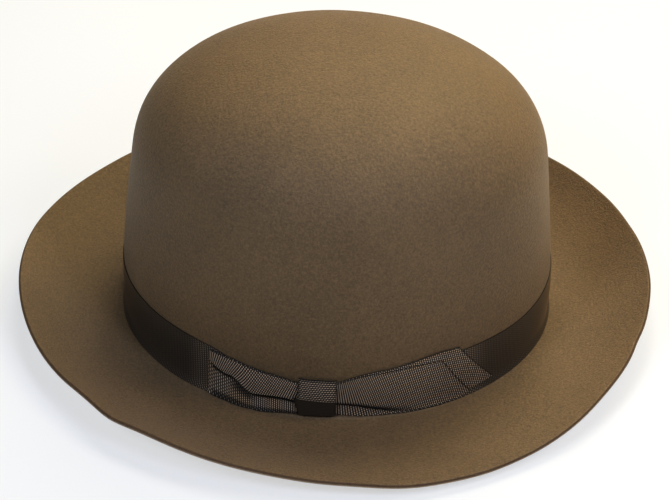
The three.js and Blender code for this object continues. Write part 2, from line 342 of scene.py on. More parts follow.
bpy.ops.mesh.primitive_plane_add(size=8, location=(0, 0, 0))
floor = bpy.context.object
floor.name = "floor"
floor_paint = bpy.data.materials.new("floor_paint")
floor_paint.use_nodes = True
tree = floor_paint.node_tree
paint = tree.nodes["Principled BSDF"]
paint.inputs["Base Color"].default_value = (0.87, 0.87, 0.87, 1)
paint.inputs["Roughness"].default_value = 0.9
glow = tree.nodes.new("ShaderNodeEmission")
both = tree.nodes.new("ShaderNodeMixShader")
tree.links.new(seen_paler(tree), both.inputs["Fac"])
tree.links.new(paint.outputs["BSDF"], both.inputs[1])
tree.links.new(glow.outputs["Emission"], both.inputs[2])
tree.links.new(both.outputs["Shader"], tree.nodes["Material Output"].inputs["Surface"])
floor.data.materials.append(floor_paint)
floor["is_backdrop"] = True
print("the floor is seen", SEEN_PALER, "of the way to white")

# %% [markdown]
# ## A node group for felt
#
# Felt has no weave. Its look comes from short matted hairs: a fine speckle, some longer hairs
# lying every way, and slow clouds where the dye took a little darker or lighter. Both the
# face of the felt and its cut edge need this, so it is a node group with a tone and a height.

# %% Node helpers
def new_group(name, inputs, outputs):
    """An empty node group with named number sockets: (name, value) in, names out."""
    group = bpy.data.node_groups.new(name, "ShaderNodeTree")
    number = "NodeSocketFloat"
    for label, value in inputs:
        socket = group.interface.new_socket(name=label, in_out="INPUT", socket_type=number)
        socket.default_value = value
    for label in outputs:
        group.interface.new_socket(name=label, in_out="OUTPUT", socket_type=number)
    return group


def add_node(tree, kind, links=(), **settings):
    """A node with its settings, and links as (input name, socket or value)."""
    node = tree.nodes.new("ShaderNode" + kind)
    for key, value in settings.items():
        setattr(node, key, value)
    for label, source in links:
        socket = node.inputs[label]
        if isinstance(source, bpy.types.NodeSocket):
            tree.links.new(source, socket)
        else:
            socket.default_value = source
    return node


def maths(tree, operation, a, b=0.0):
    return add_node(tree, "Math", [(0, a), (1, b)], operation=operation).outputs[0]


def noise_pattern(tree, place, scale, detail, **more):
    """Noise with scale cells to one unit of the place. More is other sockets, by name."""
    links = [("Vector", place), ("Scale", scale), ("Detail", detail), *more.items()]
    return add_node(tree, "TexNoise", links).outputs["Fac"]


def stretched(tree, place, rotation, scale):
    """The place turned and scaled, so that a pattern on it is drawn out one way."""
    links = [("Vector", place), ("Rotation", rotation), ("Scale", scale)]
    return add_node(tree, "Mapping", links).outputs["Vector"]


def raise_surface(tree, shader, height, depth):
    """Feeds the shader's normal from a height, with the depth in metres."""
    bump = add_node(tree, "Bump", [("Height", height), ("Distance", depth), ("Strength", 1.0)])
    tree.links.new(bump.outputs["Normal"], shader.inputs["Normal"])


print("node helpers ready")

# %% Felt group
felt_group = new_group("matted_hair", [("Speckle", 1.0), ("Clouds", 1.0)], ["Tone", "Height"])
tree = felt_group
group_in = tree.nodes.new("NodeGroupInput")
group_out = tree.nodes.new("NodeGroupOutput")
place = add_node(tree, "TexCoord").outputs["Object"]

speckle = noise_pattern(tree, place, 950, 3, Roughness=0.7)
long_way = stretched(tree, place, (0.3, 0.5, 0.8), (1, 1, 4))
hairs = noise_pattern(tree, long_way, 420, 2, Distortion=0.6)
cross_way = stretched(tree, place, (0.9, -0.4, 0.2), (4, 1, 1))
cross_hairs = noise_pattern(tree, cross_way, 380, 2, Distortion=0.6)
clouds = noise_pattern(tree, place, 22, 4, Roughness=0.6)

both_hairs = maths(tree, "ADD", hairs, cross_hairs)
speckle_part = maths(tree, "MULTIPLY", speckle, 1.4)
hair_part = maths(tree, "MULTIPLY", both_hairs, 0.3)
fine = maths(tree, "SUBTRACT", maths(tree, "ADD", speckle_part, hair_part), 1.0)
fine = maths(tree, "MULTIPLY", fine, group_in.outputs["Speckle"])
slow = maths(tree, "SUBTRACT", clouds, 0.5)
slow = maths(tree, "MULTIPLY", slow, group_in.outputs["Clouds"])
tone = maths(tree, "ADD", 0.5, maths(tree, "ADD", fine, slow))
tree.links.new(tone, group_out.inputs["Tone"])
tree.links.new(fine, group_out.inputs["Height"])
print("felt group has", len(tree.nodes), "nodes")

# %% [markdown]
# ## Felt materials
#
# Fur felt is matt, with a faint bright bloom where its hairs are seen edge on: that is what
# the shader's sheen does. The cut edge of the brim is the same felt with its inside showing,
# without the bloom. Its colour is painted dark and reddish at the upper corner, as painted
# shade, and paler lower down, as a painted highlight on the lower lip, so it follows an
# attribute, "through", that runs from the top face to the underside.

# %% Felt and its cut edge
def tinted(tree, tone, dark, light):
    """A colour between dark and light, picked by a tone round one half."""
    ramp = add_node(tree, "Mix", [("Factor", tone)], data_type="RGBA", clamp_factor=True)
    ramp.inputs["A"].default_value = (*dark, 1)
    ramp.inputs["B"].default_value = (*light, 1)
    return ramp.outputs["Result"]


def felt_material(name, dark, light, speckle, clouds, relief):
    material = bpy.data.materials.new(name)
    material.use_nodes = True
    tree = material.node_tree
    shader = tree.nodes["Principled BSDF"]
    hair = tree.nodes.new("ShaderNodeGroup")
    hair.node_tree = felt_group
    hair.inputs["Speckle"].default_value = speckle
    hair.inputs["Clouds"].default_value = clouds
    tree.links.new(tinted(tree, hair.outputs["Tone"], dark, light), shader.inputs["Base Color"])
    raise_surface(tree, shader, hair.outputs["Height"], relief)
    shader.inputs["Roughness"].default_value = 0.62
    shader.inputs["Specular IOR Level"].default_value = 0.6
    return material, shader


felt_face, shader = felt_material(
    "brushed_felt",
    dark=(0.110, 0.067, 0.0286),
    light=(0.268, 0.1665, 0.073),
    speckle=1.35,
    clouds=0.6,
    relief=0.00025,
)
shader.inputs["Sheen Weight"].default_value = 0.25
shader.inputs["Sheen Roughness"].default_value = 0.5
shader.inputs["Sheen Tint"].default_value = (0.75, 0.62, 0.5, 1)

felt_cut, shader = felt_material(
    "cut_felt",
    dark=(0.085, 0.042, 0.015),
    light=(0.15, 0.078, 0.028),
    speckle=1.2,
    clouds=0.4,
    relief=0.0003,
)
tree = felt_cut.node_tree
# the cut edge's colour: darker and redder than the face as painted shade, and paler towards the
# underside as a painted highlight
through = add_node(tree, "Attribute", attribute_name="through").outputs["Fac"]
highlight_span = [("Value", through), ("From Min", 0.45), ("From Max", 0.75)]
painted_highlight = add_node(tree, "MapRange", highlight_span, interpolation_type="SMOOTHSTEP").outputs[0]
edge_shade_tone = shader.inputs["Base Color"].links[0].from_socket
edge_colour = add_node(tree, "Mix", [("Factor", painted_highlight), ("A", edge_shade_tone)], data_type="RGBA")
edge_colour.inputs["B"].default_value = (0.42, 0.31, 0.2, 1)
tree.links.new(edge_colour.outputs["Result"], shader.inputs["Base Color"])
print("felt materials:", felt_face.name, felt_cut.name)

# %% [markdown]
# ## The felt body
#
# A hatter starts with a blank of felt and pulls it over a block. Here the blank is a flat
# disc of rings, drawn from its rim inwards by extruding a circle and shrinking it. Each ring
# has its own place on the hat: the outer ones are the brim, then come the small curve of the
# break, the side of the crown, and the dome.

# %% Cut the felt blank
AROUND = 288
DOME_RINGS = 34
WALL_RINGS = 20
BREAK_RINGS = 6
BRIM_RINGS = 26


def felt_rings():
    """Each ring's place on the hat, as a function of the angle, from the brim's edge in."""
    rings = []
    for i in range(BRIM_RINGS, 0, -1):
        rings.append(lambda a, t=i / BRIM_RINGS: on_brim(a, t))
    for i in range(BREAK_RINGS, 0, -1):
        turn = i / BREAK_RINGS * math.pi / 2
        height = BREAK_RADIUS * (1 - math.sin(turn))
        out = BREAK_RADIUS * (1 - math.cos(turn))
        rings.append(lambda a, h=height, o=out: beside_crown(a, h, o))
    for i in range(WALL_RINGS):
        height = BREAK_RADIUS + (DOME_START - BREAK_RADIUS) * i / WALL_RINGS
        rings.append(lambda a, h=height: beside_crown(a, h, 0))
    for i in range(DOME_RINGS, 0, -1):
        rise = math.cos(i / DOME_RINGS * math.pi / 2) ** (2 / DOME_POWER)
        height = DOME_START + (CROWN_HEIGHT - DOME_START) * rise
        rings.append(lambda a, h=height: beside_crown(a, h, 0))
    return rings


rings = felt_rings()
bpy.ops.object.select_all(action="DESELECT")
bpy.ops.mesh.primitive_circle_add(vertices=AROUND, radius=len(rings) * MM, fill_type="NOTHING")
felt = bpy.context.object
felt.name = "hat_felt"
bpy.ops.object.mode_set(mode="EDIT")
bpy.ops.mesh.select_all(action="SELECT")
for k in range(len(rings) - 1, 0, -1):
    shrink = k / (k + 1)
    bpy.ops.mesh.extrude_region_move()
    bpy.ops.transform.resize(value=(shrink, shrink, 1), center_override=(0, 0, 0))
bpy.ops.mesh.extrude_region_move()
bpy.ops.mesh.merge(type="CENTER")
bpy.ops.mesh.select_all(action="SELECT")
bpy.ops.mesh.normals_make_consistent(inside=False)
bpy.ops.object.mode_set(mode="OBJECT")
print("blank:", len(rings), "rings,", len(felt.data.vertices), "points")

# %% [markdown]
# Blocking moves every point of the blank to its ring's place. The noise is smooth and small,
# and it fades out at the foot of the crown, where the ribbon has to lie flat.

# %% Block the felt
UNEVEN = 0.35
CROWN_WAVE = 38
BRIM_WAVE = 26
ABOVE_BAND = 32
PAST_BREAK = 1.12


def block(vertex):
    k = round(vertex.co.xy.length / MM)
    if k == 0:
        return in_frame(beside_crown(0, CROWN_HEIGHT, 0))
    angle = math.atan2(vertex.co.y, vertex.co.x)
    point = rings[len(rings) - k](angle)
    on_crown = min(1, max(0, point.z - ABOVE_BAND) / 20)
    ovals_out = Vector((point.x / HALF_WIDTH, point.y / HALF_LENGTH)).length
    on_the_brim = min(1, max(0, ovals_out - PAST_BREAK) / 0.2)
    away = Vector((point.x, point.y, point.z * 0.4)).normalized()
    point += away * (UNEVEN * on_crown * noise.noise(point / CROWN_WAVE))
    point.z += UNEVEN * on_the_brim * noise.noise(point / BRIM_WAVE)
    return in_frame(point)


for vertex in felt.data.vertices:
    vertex.co = block(vertex)
felt.data.update()
print("blocked to", [round(v * 1000, 1) for v in felt.dimensions], "mm")

# %% [markdown]
# The felt now gets its thickness, inwards and downwards, as a Solidify modifier. Its rim gets
# the material of the cut edge. The lowest part of the underside would sink into the table, so
# it is pressed flat there, as the real brim's is by its own weight, and the rim is rounded a
# little with a bevel.

# %% Thicken, flatten and round the edge
def select_only(piece):
    bpy.ops.object.select_all(action="DESELECT")
    piece.select_set(True)
    bpy.context.view_layer.objects.active = piece


def apply_solidify(piece, thickness, **settings):
    """Gives the piece its thickness, away from its face. Settings are the modifier's own."""
    select_only(piece)
    modifier = piece.modifiers.new("thickness", "SOLIDIFY")
    modifier.thickness = thickness
    modifier.offset = -1
    modifier.use_even_offset = True
    for key, value in settings.items():
        setattr(modifier, key, value)
    bpy.ops.object.modifier_apply(modifier=modifier.name)


CORNER = 0.7

# the face's height round the rim, to measure from when the edge has its thickness
rim = sorted((math.atan2(v.co.y, v.co.x), v.co.z) for v in felt.data.vertices[:AROUND])
if felt.data.polygons[0].normal.z < 0:
    felt.data.flip_normals()
felt.data.materials.append(felt_face)
felt.data.materials.append(felt_cut)
apply_solidify(felt, FELT * MM, material_offset_rim=1)
bpy.ops.object.mode_set(mode="EDIT")
bpy.ops.mesh.select_all(action="DESELECT")
bpy.ops.object.mode_set(mode="OBJECT")
for face in felt.data.polygons:
    face.select = face.material_index == 1
bpy.ops.object.mode_set(mode="EDIT")
bpy.ops.mesh.region_to_loop()
bpy.ops.mesh.bevel(offset=CORNER * MM, segments=4, profile=0.5)
bpy.ops.object.mode_set(mode="OBJECT")
rim_turns, rim_heights = zip(*rim)
through = felt.data.attributes.new("through", "FLOAT", "POINT")
for vertex, depth in zip(felt.data.vertices, through.data):
    turn = math.atan2(vertex.co.y, vertex.co.x)
    face_height = float(np.interp(turn, rim_turns, rim_heights, period=math.tau))
    depth.value = (face_height - vertex.co.z) / (FELT * MM)
    vertex.co.z = max(0, vertex.co.z)
select_only(felt)
bpy.ops.object.shade_smooth()
lowest = min(vertex.co.z for vertex in felt.data.vertices)
print("felt body:", len(felt.data.polygons), "faces, lowest", round(lowest, 5))

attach(felt, "root")
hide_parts("felt_body")

# %% [markdown]
# ## A node group for ribbon
#
# The band and bow are grosgrain: thick threads lie across the ribbon as ribs about a
# millimetre apart, and fine silky threads run over and under them along its length. The ribs
# are real shape. The fine threads are too small for that, so they are a pattern that follows
# the ribbon's own flat map, in which one unit is a centimetre of ribbon. The ribbon itself is
# near black, and the bright dots on the tops of ribs and threads are painted glints, painted
# highlights in that pattern. Where the ribbon is pulled tight its ribs are pressed flat and it
# looks smooth and darker, with fewer painted glints, so the group has a number for how sharp
# the ribs stand and how much painted glint they carry. Both long edges end in a narrow dark
# band: a selvedge, and painted shade along the edges.

# %% Ribbon group
RIB = 1.0
THREAD = 1.25
RIBBON_WIDTH = 27
MAP_UNIT = 10

ribbon_group = new_group("ribs_and_threads", [("Crisp", 1.0)], ["Tone", "Height"])
tree = ribbon_group
group_in = tree.nodes.new("NodeGroupInput")
group_out = tree.nodes.new("NodeGroupOutput")
flat_map = add_node(tree, "UVMap", uv_map="flat_cut").outputs["UV"]
parts = add_node(tree, "SeparateXYZ", [("Vector", flat_map)])
along = maths(tree, "MULTIPLY", parts.outputs["X"], MAP_UNIT / RIB * math.pi)
over = maths(tree, "MULTIPLY", parts.outputs["Y"], MAP_UNIT / THREAD * math.pi)
rib = maths(tree, "POWER", maths(tree, "SINE", along), 4.0)
staggered = maths(tree, "ADD", over, maths(tree, "MULTIPLY", along, 0.5))
thread = maths(tree, "POWER", maths(tree, "SINE", staggered), 4.0)
thread_part = maths(tree, "ADD", 0.2, maths(tree, "MULTIPLY", thread, 1.05))
# the bright tops of ribs and threads: painted glints, painted highlights on the dark ribbon
weave_and_glints = maths(tree, "MULTIPLY", rib, thread_part)
pressed = maths(tree, "ADD", 0.034, maths(tree, "MULTIPLY", rib, 0.022))
# the painted glints, in the share given by how sharp the ribs stand; the rest is the smooth dark
# cloth
painted_glint_part = maths(tree, "MULTIPLY", weave_and_glints, group_in.outputs["Crisp"])
without_glint = maths(tree, "SUBTRACT", 1.0, group_in.outputs["Crisp"])
pressed_part = maths(tree, "MULTIPLY", pressed, without_glint)

half_width = RIBBON_WIDTH / 2 / MAP_UNIT
from_middle = maths(tree, "SUBTRACT", parts.outputs["Y"], half_width)
# darker towards both long edges: a selvedge, and painted shade along the edges
selvedge_shade_span = [
    ("Value", maths(tree, "ABSOLUTE", from_middle)),
    ("From Min", half_width - 0.03),
    ("From Max", half_width - 0.01),
    ("To Min", 1.0),
    ("To Max", 0.35),
]
selvedge_and_shade = add_node(tree, "MapRange", selvedge_shade_span).outputs[0]
cloth = maths(tree, "MULTIPLY", maths(tree, "ADD", painted_glint_part, pressed_part), selvedge_and_shade)
uneven = noise_pattern(tree, flat_map, 9, 3)
patchy = maths(tree, "ADD", 0.75, maths(tree, "MULTIPLY", uneven, 0.5))
tone = maths(tree, "MULTIPLY", cloth, patchy)
tree.links.new(tone, group_out.inputs["Tone"])
raised_threads = maths(tree, "MULTIPLY", thread, group_in.outputs["Crisp"])
tree.links.new(raised_threads, group_out.inputs["Height"])
print("ribbon group has", len(tree.nodes), "nodes")

# %% [markdown]
# ## Ribbon materials
#
# Two attributes are painted on each ribbon when it is laid. One says how sharp its ribs stand
# and how much painted glint they carry. The other is painted shade: it darkens the insides of
# folds and creases, cut ends and some edges, where hardly any light comes, and there nothing
# shines. The thin side of the ribbon is a plain dark thread.

# %% Ribbon cloth and selvedge
ribbon_cloth = bpy.data.materials.new("grosgrain")
ribbon_cloth.use_nodes = True
tree = ribbon_cloth.node_tree
shader = tree.nodes["Principled BSDF"]
crisp = add_node(tree, "Attribute", attribute_name="crisp").outputs["Fac"]
tucked = add_node(tree, "Attribute", attribute_name="tucked").outputs["Fac"]
weave = tree.nodes.new("ShaderNodeGroup")
weave.node_tree = ribbon_group
tree.links.new(crisp, weave.inputs["Crisp"])
# painted shade darkens the cloth's tone; the light end of the colour is the painted glint's
# colour
outside_painted_shade = maths(tree, "SUBTRACT", 1.0, tucked)
lit = maths(tree, "MULTIPLY", weave.outputs["Tone"], outside_painted_shade)
cloth_colour = tinted(tree, lit, (0.005, 0.0032, 0.0022), (1.0, 0.77, 0.55))
tree.links.new(cloth_colour, shader.inputs["Base Color"])
raise_surface(tree, shader, weave.outputs["Height"], 0.00006)
silky = maths(tree, "ADD", 0.42, maths(tree, "MULTIPLY", tucked, 0.5))
tree.links.new(silky, shader.inputs["Roughness"])
shader.inputs["Sheen Weight"].default_value = 0.2
shader.inputs["Sheen Roughness"].default_value = 0.35
shader.inputs["Sheen Tint"].default_value = (1.0, 0.68, 0.42, 1)
shader.inputs["Specular IOR Level"].default_value = 0.35

selvedge = bpy.data.materials.new("selvedge_thread")
selvedge.use_nodes = True
shader = selvedge.node_tree.nodes["Principled BSDF"]
shader.inputs["Base Color"].default_value = (0.022, 0.016, 0.012, 1)
shader.inputs["Roughness"].default_value = 0.8
print("ribbon materials:", ribbon_cloth.name, selvedge.name)

# %% [markdown]
# ## Laying ribbon on the hat
#
# Every ribbon is cut first, as a flat grid with four columns to a rib, and then laid: each
# point of the flat cut has a place on the hat. Places are read from short tables, smoothed
# between their rows. Positions run along the band from the wearer's left, positive towards the
# back, "foot" and "top" are heights above the brim line, and "out" is the distance of the
# ribbon's face from the felt. THIN is the ribbon's own thickness, LAYER is the step from the
# face of one layer to the next, and BAND_FACE is how far out the face of the band is.

# %% Ribbon places
THIN = 0.34
LAYER = 0.42
BAND_FACE = 0.45
MID_BAND = 14
RIB_DEPTH = 0.16

turns = np.radians(np.arange(-180, 180.1, 0.5))
track = np.array([beside_crown(a, MID_BAND, 1) for a in turns])
steps = np.linalg.norm(np.diff(track, axis=0), axis=1)
gone = np.concatenate([[0], np.cumsum(steps)])
gone -= np.interp(0, turns, gone)
ROUND = gone[-1] - gone[0]
print("the band is", round(ROUND), "mm round")


def smooth_table(rows):
    """A function of the place and the column that reads a table without corners at its rows."""
    places = [row[0] for row in rows]
    columns = np.array(rows).T
    slopes = [np.gradient(column, places) for column in columns]

    def read(along, column):
        along = min(max(along, places[0]), places[-1])
        k = min(int(np.searchsorted(places, along, side="right")) - 1, len(rows) - 2)
        run = places[k + 1] - places[k]
        t = (along - places[k]) / run
        low, high = columns[column][k], columns[column][k + 1]
        value = (1 + 2 * t) * (1 - t) ** 2 * low + t * t * (3 - 2 * t) * high
        leaving, arriving = slopes[column][k], slopes[column][k + 1]
        return value + run * (t * (1 - t) ** 2 * leaving - t * t * (1 - t) * arriving)

    return read


def break_bulge(height):
    """How far the small curve at the foot of the crown stands out at a height."""
    below = min(max(0, BREAK_RADIUS - height), BREAK_RADIUS)
    return BREAK_RADIUS - math.sqrt(BREAK_RADIUS**2 - below**2)


def on_band(along, height, out):
    """A point beside the crown, with its place given along the band and not as an angle."""
    angle = float(np.interp(along, gone, turns))
    return beside_crown(angle, height, break_bulge(height) + out)


# %% Cut and lay a ribbon
COLUMNS_A_RIB = 4


def cut_ribbon(name, length, width, rows):
    """A flat ribbon from 0 to length along X and 0 to width along Y, in metres."""
    columns = round(length / RIB * COLUMNS_A_RIB)
    bpy.ops.object.select_all(action="DESELECT")
    bpy.ops.mesh.primitive_grid_add(x_subdivisions=columns, y_subdivisions=rows, size=1)
    piece = bpy.context.object
    piece.name = name
    bpy.ops.object.mode_set(mode="EDIT")
    bpy.ops.transform.translate(value=(0.5, 0.5, 0))
    bpy.ops.transform.resize(value=(length * MM, width * MM, 1), center_override=(0, 0, 0))
    bpy.ops.object.mode_set(mode="OBJECT")
    return piece


def map_flat(piece):
    """Keeps the flat cut as the piece's map: one unit is a centimetre."""
    layer = piece.data.uv_layers[0]
    layer.name = "flat_cut"
    units = 1 / (MAP_UNIT * MM)
    for corner in piece.data.loops:
        flat = piece.data.vertices[corner.vertex_index].co
        layer.data[corner.index].uv = (flat.x * units, flat.y * units)


def paint(piece, name, values):
    """Writes one number for each point of the piece, which a material can read by name."""
    layer = piece.data.attributes.new(name, "FLOAT", "POINT")
    layer.data.foreach_set("value", values)


def everywhere(value):
    """The same value all over a ribbon."""
    return lambda x, y: value


def lay_ribbon(piece, place, crisp=everywhere(1), tucked=everywhere(0), edge=1):
    """Moves each flat point to place(x, y), adds thickness and raises the face's ribs.

    Edge is the material of the ribbon's thin side: 0 is the cloth and 1 the selvedge.
    """
    across_rib = math.pi / RIB
    map_flat(piece)
    flat = [vertex.co.copy() / MM for vertex in piece.data.vertices]
    for vertex, point in zip(piece.data.vertices, flat):
        vertex.co = in_frame(place(point.x, point.y))
    piece.data.update()
    # painted for the material: rib sharpness with its painted glint, and painted shade
    paint(piece, "crisp", [crisp(point.x, point.y) for point in flat])
    paint(piece, "tucked", [tucked(point.x, point.y) for point in flat])
    normals = [vertex.normal.copy() for vertex in piece.data.vertices]
    piece.data.materials.append(ribbon_cloth)
    piece.data.materials.append(selvedge)
    apply_solidify(piece, THIN * MM, use_even_offset=False, material_offset_rim=edge)
    for vertex, point, normal in zip(piece.data.vertices, flat, normals):
        high = abs(math.sin(point.x * across_rib)) - 0.5
        vertex.co += normal * (RIB_DEPTH * high * crisp(point.x, point.y) * MM)
    select_only(piece)
    bpy.ops.object.shade_smooth_by_angle(angle=math.radians(50))
    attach(piece, "root")
    print(piece.name, "has", len(piece.data.polygons), "faces")


print("ribbon helpers ready")

# %% [markdown]
# ## The band
#
# The band is one ribbon round the foot of the crown, its ends meeting under the bow. The
# bow's tie is sewn tight through it, so near the bow the band is drawn in from both edges.
# It is pulled tight round the hat, and its ribs stand sharp and carry painted glints only beside
# the bow.

# %% Ribbon band
TIE_MIDDLE = -7.5
BAND_SEAM = 0.1

# along, foot, top
BAND = [
    (-180, 0.5, 26.0),
    (-152, 0.6, 25.4),
    (-125, 0.5, 26.4),
    (-100, 0.5, 27.0),
    (-64, 0.5, 26.9),
    (-57, 0.7, 26.4),
    (-51, 0.9, 24.6),
    (-43, 1.0, 22.8),
    (-28, 2.0, 20.5),
    (-18, 4.0, 18.4),
    (2, 4.0, 18.8),
    (12, 2.0, 23.0),
    (28, 0.8, 26.2),
    (45, 0.5, 27.0),
    (75, 0.5, 26.8),
    (96, 0.5, 25.8),
    (115, 0.5, 25.3),
    (140, 0.5, 25.2),
    (160, 0.6, 25.2),
    (180, 0.5, 26.0),
]
read_band = smooth_table(BAND)


def band_along(x):
    """The band starts and ends under the tie."""
    along = x + TIE_MIDDLE
    return along - ROUND if along > ROUND / 2 else along


def band_place(x, y):
    along = band_along(x)
    foot, top = (read_band(along, column) for column in (1, 2))
    return on_band(along, foot + (top - foot) * y / RIBBON_WIDTH, BAND_FACE)


# rib sharpness and painted glint: a little all round, more beside the bow
def band_crisp_and_glint(x, y):
    along = band_along(x)
    return 0.1 + 0.35 * rising(along, -74, -62) * (1 - rising(along, 62, 78))


band = cut_ribbon("hat_band", ROUND - BAND_SEAM, RIBBON_WIDTH, rows=10)
lay_ribbon(band, band_place, crisp=band_crisp_and_glint, edge=0)
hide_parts("ribbon_band")

# %% [markdown]
# ## The loop
#
# The loop is a ribbon that runs forward along the band, turns over and comes back. The front
# layer isn't flat: it was pressed with a long pleat, so its upper part stands proud and hangs
# over the lower part, and a crease runs between them, darkened with painted shade. The upper
# part is drawn down to the tie, so its ribs lean, and under the tie the whole loop is drawn in.
# Its lower part is painted a little brighter, with more glint, to lift the shade under the pleat.

# %% Bow loop
# along, foot, fold, top, step, lean: the crease is at "fold", "step" is how proud the upper
# part stands there, and "lean" is how far the foot of a rib on the upper part is from the tie
LOOP = [
    (-60, 0.8, 20.4, 25.2, 0.2, 0.0),
    (-57, 0.6, 19.0, 25.2, 0.7, 1.0),
    (-54, 0.5, 17.6, 25.0, 0.9, 2.0),
    (-51, 0.5, 16.6, 24.9, 1.0, 3.0),
    (-47, 0.3, 16.1, 24.6, 1.0, 4.0),
    (-44.5, 0.2, 14.7, 24.2, 1.1, 4.5),
    (-41.4, 0.2, 12.2, 23.6, 1.2, 5.5),
    (-37.5, 0.3, 9.9, 22.9, 1.2, 6.0),
    (-34.5, 0.3, 10.0, 22.4, 1.1, 6.0),
    (-28, 0.8, 10.6, 21.6, 0.9, 5.0),
    (-22, 1.5, 10.6, 20.7, 0.7, 4.0),
    (-17, 1.7, 9.5, 19.4, 0.4, 3.0),
    (-9, 2.3, 9.5, 19.0, 0.2, 2.0),
]
read_loop = smooth_table(LOOP)
LOOP_BACK = -9
LOOP_FRONT = -60
LOOP_INNER = BAND_FACE + LAYER - THIN
LOOP_FACE = BAND_FACE + 2 * LAYER
LOOP_RADIUS = (LOOP_FACE - LOOP_INNER) / 2
STRAIGHT = LOOP_BACK - LOOP_FRONT - LOOP_RADIUS
TURN_LENGTH = math.pi * LOOP_RADIUS
LOOP_LENGTH = 2 * STRAIGHT + TURN_LENGTH
# past the turn, the front layer takes this far to reach its full relief
OPENS_OVER = 3


def loop_run(x):
    """Along the band, out from the felt, and how far the front layer has opened."""
    if x < STRAIGHT:
        return LOOP_BACK - x, LOOP_INNER, 0
    if x < STRAIGHT + TURN_LENGTH:
        turn = (x - STRAIGHT) / LOOP_RADIUS
        along = LOOP_BACK - STRAIGHT - math.sin(turn) * LOOP_RADIUS
        return along, LOOP_INNER + (1 - math.cos(turn)) * LOOP_RADIUS, 0
    back = x - STRAIGHT - TURN_LENGTH
    return LOOP_BACK - STRAIGHT + back, LOOP_FACE, min(1, back / OPENS_OVER)


# share of the flat width, share of the upper (+) or lower (-) part, how far out, how far up
PLEAT = [
    (0.00, -1.0, 0.0, 0.0),
    (0.32, -0.2, 0.0, 0.0),
    (0.38, -0.06, -0.1, 0.0),
    (0.42, 0.0, 0.0, 0.6),
    (0.455, 0.0, 0.55, 0.45),
    (0.48, 0.0, 1.0, 0.0),
    (0.52, 0.04, 1.05, 0.0),
    (0.75, 0.45, 0.85, 0.0),
    (1.00, 1.0, 0.3, 0.0),
]
PLEAT_EDGE = 0.48
LOOP_BULGE = 0.8
BULGE_TOP = 0.34


def pleat_at(share_of_width, column):
    """Reads a column of the pleat's table."""
    shares = [row[0] for row in PLEAT]
    return float(np.interp(share_of_width, shares, [row[column] for row in PLEAT]))


def hollow(along):
    """How deep the crease is: it opens most where it turns down to the tie."""
    return rising(along, -51, -44) * (1 - rising(along, -40, -33))


def loop_place(x, y):
    along, out, opened = loop_run(x)
    width = y / RIBBON_WIDTH
    share, proud, up = (pleat_at(width, column) for column in (1, 2, 3))
    if opened and width > PLEAT_EDGE:
        along -= read_loop(along, 5) * opened * (0.5 - share)
    foot, fold, top, step = (read_loop(along, column) for column in (1, 2, 3, 4))
    height = fold + share * (top - fold if share > 0 else fold - foot)
    bulge = LOOP_BULGE * hollow(along) * math.sin(math.pi * min(1, width / BULGE_TOP))
    return on_band(along, height + up * step * opened, out + (proud * step + bulge) * opened)


def loop_painted_shade(x, y):
    """Painted shade under the fold, in the crease and its hollow, and along the foot."""
    along, _, opened = loop_run(x)
    width = y / RIBBON_WIDTH
    start = 0.32 - 0.035 * rising(along, -42, -36)
    crease = rising(width, start, start + 0.04)
    shade = 0.85 * hollow(along) * rising(width, 0.13, 0.29)
    under_fold = 1 - rising(width, 0.478, 0.49)
    foot = 0.8 * (1 - rising(width, 0.04, 0.1))
    return opened * max(0.97 * under_fold * max(crease, shade), foot)


# rib sharpness and painted glint, heavier than plain ribs and most on the lower part, where the
# painted light lifts the shade under the pleat
def loop_crisp_and_glint(x, y):
    return 1.25 - 0.1 * rising(y / RIBBON_WIDTH, 0.3, 0.5)


loop = cut_ribbon("bow_loop_ribbon", LOOP_LENGTH, RIBBON_WIDTH, rows=54)
lay_ribbon(loop, loop_place, crisp=loop_crisp_and_glint, tucked=loop_painted_shade)
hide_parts("bow_loop")

# %% [markdown]
# ## The tails
#
# The two tails lie towards the back, one over the other, and their ends are cut on the slant.
# Each starts as a longer ribbon, and its end is cut off with a bisect before it is laid. They
# rise a little from the tie, so their ribs lean, the foot of each rib further from the tie.
# The upper tail's lower edge beside the tie is darkened with painted shade, and each cut end has
# a thin dark line, for its cut threads and for painted shade.

# %% Bow tails
# along, foot, top
LOWER_TAIL = [
    (-7.5, 3.5, 19.3),
    (2.0, 2.5, 20.9),
    (7.6, 1.9, 23.1),
    (16.5, 1.4, 25.6),
    (26, 1.3, 26.8),
    (34.7, 1.4, 28.2),
    (44.4, 1.7, 30.0),
    (53.4, 2.0, 30.4),
    (59.7, 2.4, 29.9),
    (79.3, 4.3, 29.7),
]
UPPER_TAIL = [
    (-7.5, 9.0, 18.8),
    (1.4, 8.7, 20.2),
    (7.2, 8.1, 22.5),
    (12, 7.2, 24.0),
    (16.2, 6.0, 24.8),
    (21.1, 4.7, 25.2),
    (25.3, 3.6, 25.6),
    (30.4, 2.6, 26.1),
    (35, 1.9, 26.4),
    (40, 1.5, 26.5),
    (50.6, 1.3, 26.0),
    (60, 1.5, 25.6),
    (66, 2.7, 25.4),
]
TAIL_LEAN = 7.0
LOWER_TAIL_OUT = BAND_FACE + LAYER
UPPER_TAIL_OUT = BAND_FACE + 2.2 * LAYER


